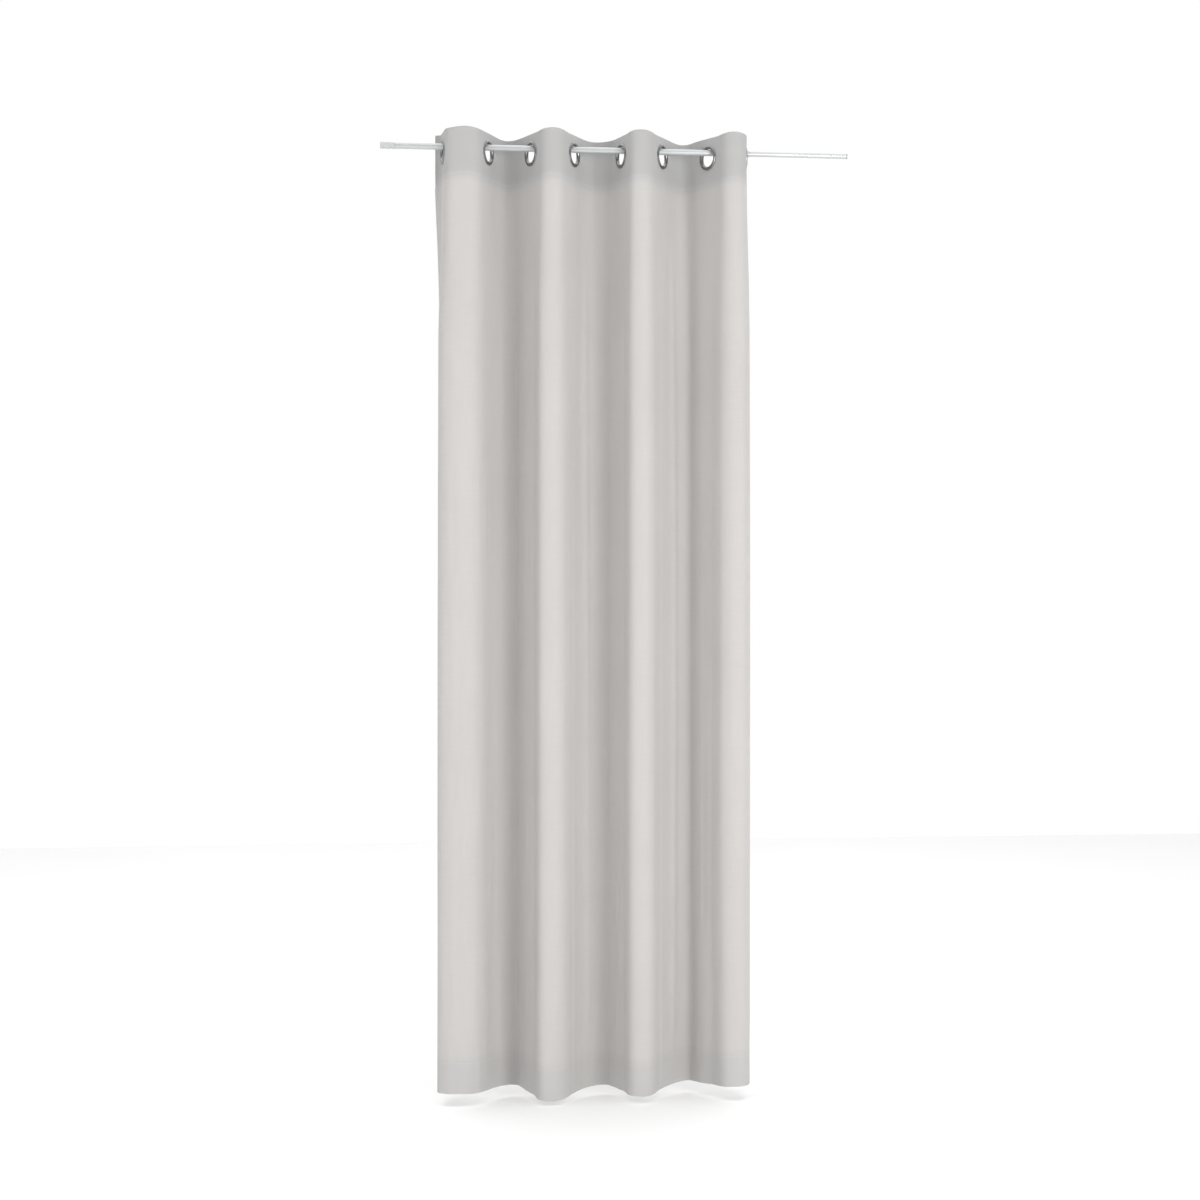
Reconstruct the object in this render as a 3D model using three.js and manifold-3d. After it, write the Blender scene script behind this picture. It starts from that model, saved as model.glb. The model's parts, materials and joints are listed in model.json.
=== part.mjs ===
// An eyelet curtain panel, hanging in folds from a telescopic rod.
//
// Millimetres. +X runs along the rod to the right, +Y to the back and +Z up. The origin is on the
// rod's axis, in the middle of the hung panel. The cloth is one sheet in the real panel: here it is
// cut at each fold's crest into eight strips, each with its own eyelet, so that the panel can fold
// up like a concertina as it is drawn along the rod. Its two side edges are pieces of their own.
import * as THREE from "three";
import { mergeVertices } from "three/addons/utils/BufferGeometryUtils.js";
import Module from "manifold-3d";

// The panel as it is sewn, laid flat.
const panelHeight = 2450;
const eyeletSpacing = 184; // between the centres of two eyelets
const headingHeight = 118; // the turned-over top, with the stiffener inside
const bottomHemHeight = 80;
const sideHemWidth = 21.5;

// The panel as it hangs: where the eyelets sit on the rod, and how the cloth stands at each.
const eyeletGaps = [115, 110, 111, 122, 106, 120, 97]; // along the rod, left to right
const clothLeans = [84, 63, 67, 59, 73, 57, 59, 86]; // degrees between the cloth and the rod
const topAboveRod = 36; // from the rod's axis to the top edge
const foldingRoom = 32; // degrees of turn that the gaps at the crests leave room for

// Cloth layers.
const clothThickness = 1;
const stiffenerThickness = 0.7;
const hemThickness = 1.5; // the cloth turned under twice
const layerGap = 0.3;
const crestClearance = 0.3;
const edgeGap = 0.5; // between an outer strip and the side edge piece
const seamGap = 0.3; // between the heading and the cloth under it

// Eyelets: a front ring whose barrel goes through the cloth, and a back ring over the barrel.
const eyeletBore = 22;
const eyeletRadius = 32;
const barrelWall = 1.2;
const barrelFit = 0.4; // between the barrel and the back ring
const flangeHeight = 3.4;
const backRingHeight = 2.8;
const backRingRadius = 31.5;
const holeClearance = 1.3; // around the barrel, in each layer of cloth
const flatAround = 2; // flat cloth past the eyelet's rim
const ringSteps = 24;

// The rod: two tubes that slide in each other, closed by a cap and a plug.
const outerTubeRadius = 8;
const innerTubeRadius = 6.5;
const tubeWall = 1;
const outerTubeLeft = -513.7;
const outerTubeRight = 401;
const innerTubeRight = 657;
const innerTubeLength = 900;
const hangGap = 1.1; // between the top of the rod and the top of an eyelet's bore
const tubeSteps = 24;

const capCollarRadius = 8.4;
const capCollarLength = 36;
const plugHeadRadius = 7;
const plugHeadLength = 3;
const spigotLength = 20;
const spigotClearance = 0.4;
const seatGap = 0.3; // between a cap's shoulder and the tube's end

// The care label, a blank tab sewn behind the cloth beside the left side hem.
const labelWidth = 20;
const labelHeight = 55;
const labelThickness = 0.5;
const labelAboveHem = 120;

const crestSteps = 8; // steps along the curve from an eyelet's flat to a crest
const leaveShare = 0.36; // how far the curve keeps the eyelet's direction, of its reach
const arriveShare = 0.44; // how far it keeps the crest's direction

const wasm = await Module();
wasm.setup();

const clothColour = 0xd6d2cf;
const fabric = new THREE.MeshStandardMaterial({ color: clothColour, roughness: 0.9 });
const buckram = new THREE.MeshStandardMaterial({ color: 0xf0efeb, roughness: 0.95 });
const tape = new THREE.MeshStandardMaterial({ color: 0xf4f4f2, roughness: 0.7 });
const nickel = new THREE.MeshStandardMaterial({ color: 0x8f9092, roughness: 0.25, metalness: 1 });
const rodMetal = new THREE.MeshStandardMaterial({ color: 0xd0d2d3, roughness: 0.4, metalness: 0.6 });
const capPlastic = new THREE.MeshStandardMaterial({ color: 0xc6c8c9, roughness: 0.5 });

const flatHalf = eyeletRadius + flatAround;
const sideMargin = flatHalf + edgeGap + sideHemWidth; // from an outer eyelet to the side edge
const topEdge = topAboveRod;
const bottomEdge = topEdge - panelHeight;
const eyeletHeight = outerTubeRadius + hangGap - eyeletBore;
const leans = clothLeans.map(THREE.MathUtils.degToRad);
const panelSpan = eyeletGaps.reduce((sum, gap) => sum + gap, 0);

// A layer's front and back, as distances in front of the middle of the cloth.
const faceLayer = { front: clothThickness / 2, back: -clothThickness / 2 };
const stiffenerLayer = layerBehind(faceLayer, stiffenerThickness);
const facingLayer = layerBehind(stiffenerLayer, clothThickness);
const hemLayer = layerBehind(faceLayer, hemThickness);
const labelLayer = layerBehind(faceLayer, labelThickness);

function layerBehind(layer, thickness) {
  const front = layer.back - layerGap;
  return { front, back: front - thickness };
}

const along = (angle, length) => new THREE.Vector2(Math.cos(angle), Math.sin(angle)).multiplyScalar(length);

// The curve from the end of an eyelet's flat to the crest, with the eyelet's centre at 0, 0.
function sideCurve(halfGap, depth, lean) {
  const start = along(lean, flatHalf);
  const crest = new THREE.Vector2(halfGap, depth);
  const reach = start.distanceTo(crest);
  const leave = start.clone().add(along(lean, reach * leaveShare));
  const arrive = new THREE.Vector2(halfGap - reach * arriveShare, depth);
  return new THREE.CubicBezierCurve(start, leave, arrive, crest);
}

// How deep a fold stands, so that the cloth between its two eyelets keeps its flat length.
function foldDepth(gap, leftLean, rightLean) {
  const flat = (lean, depth) => flatHalf + sideCurve(gap / 2, depth, lean).getLength();
  let low = flatHalf * Math.sin(Math.min(leftLean, rightLean));
  let high = eyeletSpacing;
  for (let i = 0; i < 40; i++) {
    const depth = (low + high) / 2;
    const tooLong = flat(leftLean, depth) + flat(rightLean, depth) > eyeletSpacing;
    [low, high] = tooLong ? [low, depth] : [depth, high];
  }
  return (low + high) / 2;
}

// The strips, left to right. Odd ones rise to the front on their right, even ones to the back.
function makeStrips() {
  let x = -panelSpan / 2;
  const depths = eyeletGaps.map((gap, i) => foldDepth(gap, leans[i], leans[i + 1]));
  return leans.map((lean, i) => {
    const strip = {
      number: i + 1,
      x,
      lean,
      rise: i % 2 ? 1 : -1, // the way that its right side goes, in Y
      left: i > 0 ? { halfGap: eyeletGaps[i - 1] / 2, depth: depths[i - 1] } : null,
      right: i < depths.length ? { halfGap: eyeletGaps[i] / 2, depth: depths[i] } : null,
    };
    x += eyeletGaps[i] ?? 0;
    return strip;
  });
}

// One side of a strip's middle line, outwards from the eyelet. It stops short of the crest.
function sidePoints(lean, fold, crestGap) {
  if (!fold) return [along(lean, flatHalf)];
  const curve = sideCurve(fold.halfGap, fold.depth, lean);
  const last = 1 - crestGap / (3 * curve.v2.distanceTo(curve.v3));
  return Array.from({ length: crestSteps + 1 }, (_, i) => curve.getPoint((last * i) / crestSteps));
}

function middleLine(strip, crestGap) {
  const leftSide = sidePoints(strip.lean, strip.left, crestGap).reverse();
  const rightSide = sidePoints(strip.lean, strip.right, crestGap);
  return [
    ...leftSide.map((p) => new THREE.Vector2(strip.x - p.x, -strip.rise * p.y)),
    ...rightSide.map((p) => new THREE.Vector2(strip.x + p.x, strip.rise * p.y)),
  ];
}

// The line moved towards the face of the cloth, which looks to the front.
function offsetLine(line, distance) {
  return line.map((point, i) => {
    const before = line[Math.max(i - 1, 0)];
    const after = line[Math.min(i + 1, line.length - 1)];
    const step = after.clone().sub(before).normalize();
    return new THREE.Vector2(point.x + step.y * distance, point.y - step.x * distance);
  });
}

function extrudedLayer(line, layer, low, high) {
  const outline = [...offsetLine(line, layer.front), ...offsetLine(line, layer.back).reverse()];
  const geometry = new THREE.ExtrudeGeometry(new THREE.Shape(outline), {
    depth: high - low,
    bevelEnabled: false,
  });
  return geometry.translate(0, 0, low);
}

// How far a layer stops from the crest, so that it clears its neighbour with the panel drawn up.
function crestGapOf(layer) {
  const furthest = Math.max(Math.abs(layer.front), Math.abs(layer.back));
  return crestClearance + furthest * Math.tan(THREE.MathUtils.degToRad(foldingRoom));
}

function toSolid(geometry) {
  const bare = geometry.clone();
  for (const name of ["normal", "uv"]) bare.deleteAttribute(name);
  const merged = mergeVertices(bare);
  return new wasm.Manifold(
    new wasm.Mesh({
      numProp: 3,
      vertProperties: merged.attributes.position.array,
      triVerts: new Uint32Array(merged.index.array),
    }),
  );
}

function toGeometry(solid) {
  const mesh = solid.getMesh();
  const geometry = new THREE.BufferGeometry();
  geometry.setAttribute("position", new THREE.BufferAttribute(mesh.vertProperties, 3));
  geometry.setIndex(new THREE.BufferAttribute(mesh.triVerts, 1));
  return geometry;
}

// Turns what is made along +Y to point out of the face of a strip's cloth, at its eyelet.
function placeAtEyelet(geometry, strip) {
  return geometry.rotateZ(Math.PI + strip.rise * strip.lean).translate(strip.x, 0, eyeletHeight);
}

function withEyeletHole(geometry, strip) {
  const radius = eyeletBore + barrelWall + holeClearance;
  const drill = new THREE.CylinderGeometry(radius, radius, eyeletRadius, ringSteps);
  return toGeometry(toSolid(geometry).subtract(toSolid(placeAtEyelet(drill, strip))));
}

function stripLayer(strip, layer, low, high) {
  return extrudedLayer(middleLine(strip, crestGapOf(layer)), layer, low, high);
}

function drop(strip) {
  return stripLayer(strip, faceLayer, bottomEdge, topEdge - headingHeight - seamGap);
}

// The cloth's top, turned over to the back around the stiffener.
function headingBand(strip) {
  const seam = topEdge - headingHeight;
  const turn = { front: faceLayer.front, back: facingLayer.back };
  const band = toSolid(stripLayer(strip, faceLayer, seam, topEdge))
    .add(toSolid(stripLayer(strip, facingLayer, seam, topEdge)))
    .add(toSolid(stripLayer(strip, turn, topEdge - clothThickness, topEdge)));
  return withEyeletHole(toGeometry(band), strip);
}

function headingStiffener(strip) {
  const low = topEdge - headingHeight + layerGap;
  const high = topEdge - clothThickness - layerGap;
  return withEyeletHole(stripLayer(strip, stiffenerLayer, low, high), strip);
}

function bottomHem(strip) {
  return stripLayer(strip, hemLayer, bottomEdge, bottomEdge + bottomHemHeight);
}

// A narrow layer on an outer strip's free side, between two distances from the eyelet's centre.
function sideLayer(strip, layer, near, far, low, high) {
  const way = strip.left ? 1 : -1;
  const points = [near, far].map((distance) => {
    const p = along(strip.lean, distance * way);
    return new THREE.Vector2(strip.x + p.x, strip.rise * p.y);
  });
  return extrudedLayer(way > 0 ? points : points.reverse(), layer, low, high);
}

function edgeStrip(strip) {
  return sideLayer(strip, faceLayer, flatHalf + edgeGap, sideMargin, bottomEdge, topEdge);
}

function sideHem(strip) {
  return sideLayer(strip, hemLayer, flatHalf + edgeGap, sideMargin, bottomEdge, topEdge);
}

function careLabel(strip) {
  const low = bottomEdge + bottomHemHeight + labelAboveHem;
  return sideLayer(strip, labelLayer, flatHalf - labelWidth, flatHalf, low, low + labelHeight);
}

// A ring turned from a closed section of [radius, height] points, standing out of the face.
function turnedRing(section, strip) {
  const points = [...section, section[0]].map(([radius, height]) => new THREE.Vector2(radius, height));
  return placeAtEyelet(new THREE.LatheGeometry(points, ringSteps), strip);
}

// The domed flange in front of the cloth, with the barrel that goes back through it.
function eyeletFrontRing(strip) {
  const seat = faceLayer.front + layerGap;
  const top = seat + flangeHeight;
  const end = facingLayer.back - layerGap - backRingHeight * 0.5;
  const outside = eyeletBore + barrelWall;
  const section = [
    [outside, end],
    [outside, seat],
    [eyeletRadius, seat],
    [eyeletRadius - 0.5, seat + flangeHeight * 0.5],
    [eyeletRadius - 3, top - 0.3],
    [eyeletRadius - 6.5, top],
    [eyeletBore + 1.4, top - 1.2],
    [eyeletBore, seat - 0.5],
    [eyeletBore, facingLayer.front],
    [eyeletBore + 0.5, end],
  ];
  return turnedRing(section, strip);
}

function eyeletBackRing(strip) {
  const seat = facingLayer.back - layerGap;
  const low = seat - backRingHeight;
  const inside = eyeletBore + barrelWall + barrelFit;
  const section = [
    [inside, seat],
    [inside, low + 0.9],
    [inside + 2, low],
    [backRingRadius - 3, low],
    [backRingRadius - 0.4, seat - backRingHeight * 0.45],
    [backRingRadius, seat],
  ];
  return turnedRing(section, strip);
}

// A piece turned about the rod's axis from a section of [x, radius] points that starts and ends on
// the axis, or closes on itself.
function turnedAlongRod(section) {
  const points = section.map(([x, radius]) => new THREE.Vector2(radius, x));
  return new THREE.LatheGeometry(points, tubeSteps).rotateZ(-Math.PI / 2);
}

function tube(left, right, radius) {
  const inside = radius - tubeWall;
  return turnedAlongRod([
    [left, inside],
    [left, radius],
    [right, radius],
    [right, inside],
    [left, inside],
  ]);
}

function endCap() {
  const shoulder = outerTubeLeft - seatGap;
  const spigot = outerTubeRadius - tubeWall - spigotClearance;
  return turnedAlongRod([
    [shoulder - capCollarLength, 0],
    [shoulder - capCollarLength, capCollarRadius - 0.6],
    [shoulder - capCollarLength + 0.6, capCollarRadius],
    [shoulder, capCollarRadius],
    [shoulder, spigot],
    [shoulder + spigotLength, spigot],
    [shoulder + spigotLength, 0],
  ]);
}

function endPlug() {
  const shoulder = innerTubeRight + seatGap;
  const spigot = innerTubeRadius - tubeWall - spigotClearance;
  return turnedAlongRod([
    [shoulder - spigotLength, 0],
    [shoulder - spigotLength, spigot],
    [shoulder, spigot],
    [shoulder, plugHeadRadius],
    [shoulder + plugHeadLength, plugHeadRadius],
    [shoulder + plugHeadLength, 0],
  ]);
}

function named(name, geometry, material) {
  const mesh = new THREE.Mesh(geometry, material);
  mesh.name = name;
  return mesh;
}

function makeRod() {
  const rod = new THREE.Group();
  rod.add(
    named("rod_outer_tube", tube(outerTubeLeft, outerTubeRight, outerTubeRadius), rodMetal),
    named("rod_inner_tube", tube(innerTubeRight - innerTubeLength, innerTubeRight, innerTubeRadius), rodMetal),
    named("rod_end_cap", endCap(), capPlastic),
    named("rod_end_plug", endPlug(), capPlastic),
  );
  return rod;
}

function makePanel() {
  const panel = new THREE.Group();
  const strips = makeStrips();
  for (const strip of strips) {
    panel.add(
      named(`panel_strip_${strip.number}`, drop(strip), fabric),
      named(`heading_stiffener_${strip.number}`, headingStiffener(strip), buckram),
      named(`heading_band_${strip.number}`, headingBand(strip), fabric),
      named(`bottom_hem_${strip.number}`, bottomHem(strip), fabric),
      named(`eyelet_front_ring_${strip.number}`, eyeletFrontRing(strip), nickel),
      named(`eyelet_back_ring_${strip.number}`, eyeletBackRing(strip), nickel),
    );
  }
  const leftStrip = strips[0];
  const rightStrip = strips[strips.length - 1];
  panel.add(
    named("panel_edge_left", edgeStrip(leftStrip), fabric),
    named("panel_edge_right", edgeStrip(rightStrip), fabric),
    named("side_hem_left", sideHem(leftStrip), fabric),
    named("side_hem_right", sideHem(rightStrip), fabric),
    named("care_label", careLabel(leftStrip), tape),
  );
  return panel;
}

const curtain = new THREE.Group();
curtain.add(makeRod(), makePanel());

export default curtain;
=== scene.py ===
"""An eyelet curtain panel hanging from a telescopic rod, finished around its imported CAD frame."""
import json
import math

import bpy
import numpy as np
from bpy.props import FloatProperty, FloatVectorProperty, PointerProperty
from mathutils import Matrix, Vector


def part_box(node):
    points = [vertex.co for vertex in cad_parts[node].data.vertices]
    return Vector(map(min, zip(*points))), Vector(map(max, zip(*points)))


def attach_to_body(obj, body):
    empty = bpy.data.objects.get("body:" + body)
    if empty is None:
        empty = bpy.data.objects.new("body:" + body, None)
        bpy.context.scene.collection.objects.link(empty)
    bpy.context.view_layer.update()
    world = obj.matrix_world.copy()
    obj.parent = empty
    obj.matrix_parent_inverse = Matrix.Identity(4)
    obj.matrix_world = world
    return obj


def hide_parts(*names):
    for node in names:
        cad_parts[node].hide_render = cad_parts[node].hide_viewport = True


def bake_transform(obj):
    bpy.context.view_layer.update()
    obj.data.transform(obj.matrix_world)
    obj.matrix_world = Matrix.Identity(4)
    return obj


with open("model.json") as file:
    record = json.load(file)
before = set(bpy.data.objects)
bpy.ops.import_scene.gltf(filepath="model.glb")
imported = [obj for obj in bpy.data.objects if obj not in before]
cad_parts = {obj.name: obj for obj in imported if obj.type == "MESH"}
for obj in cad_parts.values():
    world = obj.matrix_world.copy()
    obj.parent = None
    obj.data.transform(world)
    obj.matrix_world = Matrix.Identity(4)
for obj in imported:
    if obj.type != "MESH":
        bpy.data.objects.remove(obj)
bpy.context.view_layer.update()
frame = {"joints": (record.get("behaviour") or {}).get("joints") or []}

bl_info = {
    "name": "Eyelet Curtain",
    "version": (1, 0, 0),
    "blender": (4, 5, 0),
    "location": "View3D > Sidebar > Curtain",
    "description": "Builds an eyelet curtain panel, its heading, hems, eyelets and rod",
    "category": "Add Mesh",
}

JOINTS = {joint["name"]: joint for joint in frame["joints"]}
STRIPS = 8
FOLDS = STRIPS - 1


def eyelet_places():
    """Where the rod's axis passes through each eyelet: every fold's crest is midway of its two."""
    x = JOINTS["draw"]["pos_m"][0]
    places = [x]
    for k in range(FOLDS):
        x = 2 * JOINTS[f"fold_{k + 1}"]["pos_m"][0] - x
        places.append(x)
    low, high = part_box("eyelet_front_ring_1")
    return [Vector((place, 0.0, (low[2] + high[2]) / 2)) for place in places]


EYELETS = eyelet_places()
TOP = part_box("heading_band_1")[1][2]
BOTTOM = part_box("panel_strip_1")[0][2]
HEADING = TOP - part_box("heading_band_1")[0][2]
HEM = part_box("bottom_hem_1")[1][2] - BOTTOM
ROD_RADIUS = (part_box("rod_outer_tube")[1][2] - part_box("rod_outer_tube")[0][2]) / 2


# ---------------------------------------------------------------- sizes and colours


class ClothSizes(bpy.types.PropertyGroup):
    spacing: FloatProperty(
        name="Eyelet spacing", description="Between two eyelets, along the flat cloth",
        default=0.184, min=0.05, unit="LENGTH")
    margin: FloatProperty(
        name="Side margin", description="From an outer eyelet to the side edge, along the flat cloth",
        default=0.056, min=0.04, unit="LENGTH")
    thickness: FloatProperty(
        name="Thickness", description="Of one layer of the cloth", default=0.0009, min=0.0002, unit="LENGTH")
    side_hem: FloatProperty(
        name="Side hem", description="Width of the turned-under side edges",
        default=0.0215, min=0.005, unit="LENGTH")
    leans: FloatVectorProperty(
        name="Leans", description="Angle between the cloth and the rod at each eyelet",
        size=STRIPS, default=[math.radians(a) for a in (84, 63, 67, 59, 73, 57, 59, 86)], subtype="NONE")
    heading_crests: FloatVectorProperty(
        name="Crests at the heading", description="Each fold's crest, sideways from midway of its eyelets",
        size=FOLDS, default=(-0.011, 0.001, -0.012, 0.001, -0.018, 0.009, 0.008), subtype="NONE")
    body_crests: FloatVectorProperty(
        name="Crests below", description="The same, lower down the cloth",
        size=FOLDS, default=(-0.021, 0.022, -0.019, 0.029, -0.015, 0.019, 0.008), subtype="NONE")
    sags: FloatVectorProperty(
        name="Hem", description="How far each fold's crest has ridden up at the hem",
        size=FOLDS, default=(0.013, 0.008, -0.009, 0.003, -0.002, 0.007, 0.017), subtype="NONE")
    outer_leans: FloatVectorProperty(
        name="Outer leans below", description="Of the two outer eyelets' lines, lower down the cloth",
        size=2, default=[math.radians(a) for a in (112, 98)], subtype="NONE")
    spread: FloatVectorProperty(
        name="Spread below", description="How far the outer eyelets' lines move sideways lower down",
        size=2, default=(-0.009, 0.005), subtype="XYZ_LENGTH")
    tilt: FloatVectorProperty(
        name="Heading's tilt", description="Rise of the top edge at a front fold and its dip at a back fold",
        size=2, default=(0.005, 0.0045), subtype="XYZ_LENGTH")
    thread: FloatProperty(
        name="Thread pitch", description="Between two threads of the weave", default=0.0007, unit="LENGTH")
    colour: FloatVectorProperty(
        name="Cloth", description="Colour of the cloth", size=3, subtype="COLOR",
        default=(0.505, 0.489, 0.477), min=0, max=1)
    # painted shade: the cloth's colour darkened and cooled for the heading and the hem, where the light falls
    # off
    heading_shade_colour: FloatVectorProperty(
        name="Heading and hem shade", description="Cloth colour with painted shade, for the heading and the hem",
        size=3, subtype="COLOR", default=(0.41, 0.406, 0.405), min=0, max=1)
    thread_colour: FloatVectorProperty(
        name="Sewing thread", description="Colour of the stitches", size=3, subtype="COLOR",
        default=(0.56, 0.535, 0.515), min=0, max=1)


class EyeletSizes(bpy.types.PropertyGroup):
    bore: FloatProperty(
        name="Bore", description="Radius of the hole", default=0.022, min=0.005, unit="LENGTH")
    radius: FloatProperty(
        name="Rim", description="Outer radius of the front ring", default=0.032, min=0.01, unit="LENGTH")
    height: FloatProperty(
        name="Height", description="How far the front ring stands out of the cloth",
        default=0.0034, min=0.001, unit="LENGTH")
    colour: FloatVectorProperty(
        name="Metal", description="Colour of the eyelets", size=3, subtype="COLOR",
        default=(0.27, 0.27, 0.275), min=0, max=1)


class RodLooks(bpy.types.PropertyGroup):
    colour: FloatVectorProperty(
        name="Tube", description="Colour of the rod's coating", size=3, subtype="COLOR",
        default=(0.51, 0.523, 0.527), min=0, max=1)
    cap_colour: FloatVectorProperty(
        name="Cap", description="Colour of the cap and the plug", size=3, subtype="COLOR",
        default=(0.46, 0.472, 0.48), min=0, max=1)


class StageSetup(bpy.types.PropertyGroup):
    azimuth: FloatProperty(
        name="Camera azimuth", description="Of the camera, round the panel",
        default=math.radians(-6.5), subtype="ANGLE")
    distance: FloatProperty(
        name="Camera distance", description="From the panel", default=5.5, unit="LENGTH")
    lens: FloatProperty(name="Lens", description="Focal length in millimetres", default=64.2)
    aim: FloatVectorProperty(
        name="Aim", description="What the camera looks at, from the origin along its own right and up",
        size=2, default=(0.0123, -1.171), subtype="XYZ_LENGTH")
    key: FloatProperty(name="Key light", description="Power in watts", default=138.0)
    fill: FloatProperty(name="Fill light", description="Power in watts", default=60.0)
    above: FloatProperty(name="Light above", description="Power in watts", default=260.0)
    sky: FloatProperty(name="Sky", description="Strength of the surroundings", default=0.6)


# ---------------------------------------------------------------- shader nodes


class Value:
    """A socket that adds Math nodes when it's calculated with."""

    def __init__(self, material, socket):
        self.material = material
        self.socket = socket

    def _math(self, operation, *others):
        out = self.material.add("ShaderNodeMath", {"operation": operation}, {
            i: value for i, value in enumerate((self, *others))})
        return out

    def __add__(self, other):
        return self._math("ADD", other)

    def __sub__(self, other):
        return self._math("SUBTRACT", other)

    def __rsub__(self, other):
        return self.material.add("ShaderNodeMath", {"operation": "SUBTRACT"}, {0: other, 1: self})

    def __mul__(self, other):
        return self._math("MULTIPLY", other)

    __radd__ = __add__
    __rmul__ = __mul__

    def sin(self):
        return self._math("SINE")


class Finish:
    """A material with a Principled shader, made node by node."""

    def __init__(self, name, **constants):
        self.material = bpy.data.materials.new(name)
        self.material.use_nodes = True
        self.tree = self.material.node_tree
        self.shader = self.tree.nodes["Principled BSDF"]
        for socket, value in constants.items():
            self.shader.inputs[socket.replace("_", " ")].default_value = value

    def feed(self, socket, value):
        if isinstance(value, Value):
            self.tree.links.new(value.socket, socket)
        elif hasattr(value, "__len__") and len(value) == 3 and socket.type == "RGBA":
            socket.default_value = (*value, 1.0)
        else:
            socket.default_value = value

    def add(self, kind, settings, inputs, output=0):
        node = self.tree.nodes.new(kind)
        for name, value in settings.items():
            setattr(node, name, value)
        for name, value in inputs.items():
            self.feed(node.inputs[name], value)
        return Value(self, node.outputs[output])

    def mix(self, factor, a, b):
        """The colour a where factor is 0 and b where it is 1."""
        node = self.tree.nodes.new("ShaderNodeMix")
        node.data_type = "RGBA"
        sockets = [s for s in node.inputs if s.enabled]
        for socket, value in zip(sockets, (factor, a, b)):
            self.feed(socket, value)
        return Value(self, next(s for s in node.outputs if s.enabled))

    def noise(self, place, scale, detail=2.0, roughness=0.5):
        return self.add("ShaderNodeTexNoise", {"noise_dimensions": "3D"}, {
            "Vector": place, "Scale": scale, "Detail": detail, "Roughness": roughness})

    def stretched(self, place, x, y, z):
        return self.add("ShaderNodeVectorMath", {"operation": "MULTIPLY"}, {0: place, 1: (x, y, z)})

    def bump(self, height, distance, strength=1.0):
        normal = self.add("ShaderNodeBump", {}, {
            "Strength": strength, "Distance": distance, "Height": height})
        self.feed(self.shader.inputs["Normal"], normal)

    def colour(self, value):
        self.feed(self.shader.inputs["Base Color"], value)

    def roughness(self, value):
        self.feed(self.shader.inputs["Roughness"], value)


def shade(colour, factor):
    return tuple(min(1.0, c * factor) for c in colour)


def cloth_finish(sizes):
    """Plain-woven cloth: threads both ways, uneven yarn, and a painted shade, darker and cooler, at the
    heading and near the hem.
    """
    finish = Finish("woven_cloth", Sheen_Weight=0.12, Sheen_Roughness=0.5, Specular_IOR_Level=0.2)
    place = finish.add("ShaderNodeAttribute", {"attribute_name": "flat_cloth"}, {}, "Vector")
    parts = finish.tree.nodes.new("ShaderNodeSeparateXYZ")
    finish.feed(parts.inputs[0], place)
    across, down = Value(finish, parts.outputs[0]), Value(finish, parts.outputs[1])
    turns = 2 * math.pi / sizes.thread
    warp = (across * (turns / 2)).sin()
    weft = (down * (turns / 2)).sin()
    weave = warp * weft * 0.5 + 0.5
    slub_down = finish.noise(finish.stretched(place, 700, 14, 1), 1.0, 2.0)
    slub_across = finish.noise(finish.stretched(place, 14, 700, 1), 1.0, 2.0)
    cloud = finish.noise(finish.stretched(place, 9, 4, 1), 1.0, 3.0)
    tone = (slub_down + slub_across) * 0.35 + cloud * 0.3
    plain = finish.mix(tone, shade(sizes.colour, 0.86), shade(sizes.colour, 1.14))
    # painted shade: a darker, cooler copy of the cloth's colour, laid on at the heading and near the hem,
    # where the light falls off towards the top and bottom
    painted_shade = finish.mix(tone, shade(sizes.heading_shade_colour, 0.9), shade(sizes.heading_shade_colour, 1.1))
    painted_shade_mask = finish.add("ShaderNodeAttribute", {"attribute_name": "heading_hem_shade"}, {}, "Fac")
    colour = finish.mix(painted_shade_mask, plain, painted_shade)
    finish.colour(finish.mix(weave * 0.16, colour, shade(sizes.colour, 0.55)))
    finish.roughness(slub_across * 0.16 + 0.78)
    finish.bump(weave * 0.7 + slub_down * 0.5 + slub_across * 0.5, 0.00035, 0.7)
    return finish.material


def thread_finish(sizes):
    """Twisted sewing thread."""
    finish = Finish("sewing_thread", Sheen_Weight=0.2, Specular_IOR_Level=0.35)
    place = finish.add("ShaderNodeTexCoord", {}, {}, "Object")
    twist = finish.noise(place, 2600.0, 1.0)
    finish.colour(finish.mix(twist, shade(sizes.thread_colour, 0.8), shade(sizes.thread_colour, 1.1)))
    finish.roughness(twist * 0.2 + 0.55)
    finish.bump(twist, 0.0001)
    return finish.material


def stiffener_finish():
    """Non-woven heading tape with pressed fibres."""
    finish = Finish("heading_tape", Specular_IOR_Level=0.2)
    place = finish.add("ShaderNodeTexCoord", {}, {}, "Object")
    fibres = finish.noise(place, 900.0, 5.0, 0.7)
    finish.colour(finish.mix(fibres, (0.78, 0.77, 0.74), (0.9, 0.895, 0.87)))
    finish.roughness(fibres * 0.1 + 0.85)
    finish.bump(fibres, 0.0002)
    return finish.material


def label_finish():
    """Blank satin tape, ribbed across."""
    finish = Finish("satin_tape", Sheen_Weight=0.3, Specular_IOR_Level=0.4)
    place = finish.add("ShaderNodeTexCoord", {}, {}, "Object")
    parts = finish.tree.nodes.new("ShaderNodeSeparateXYZ")
    finish.feed(parts.inputs[0], place)
    ribs = (Value(finish, parts.outputs[2]) * (2 * math.pi / 0.0006)).sin() * 0.5 + 0.5
    fray = finish.noise(place, 300.0, 2.0)
    finish.colour(finish.mix(fray, (0.8, 0.8, 0.785), (0.88, 0.88, 0.87)))
    finish.roughness(ribs * 0.15 + 0.35)
    finish.bump(ribs, 0.00008)
    return finish.material


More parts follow.
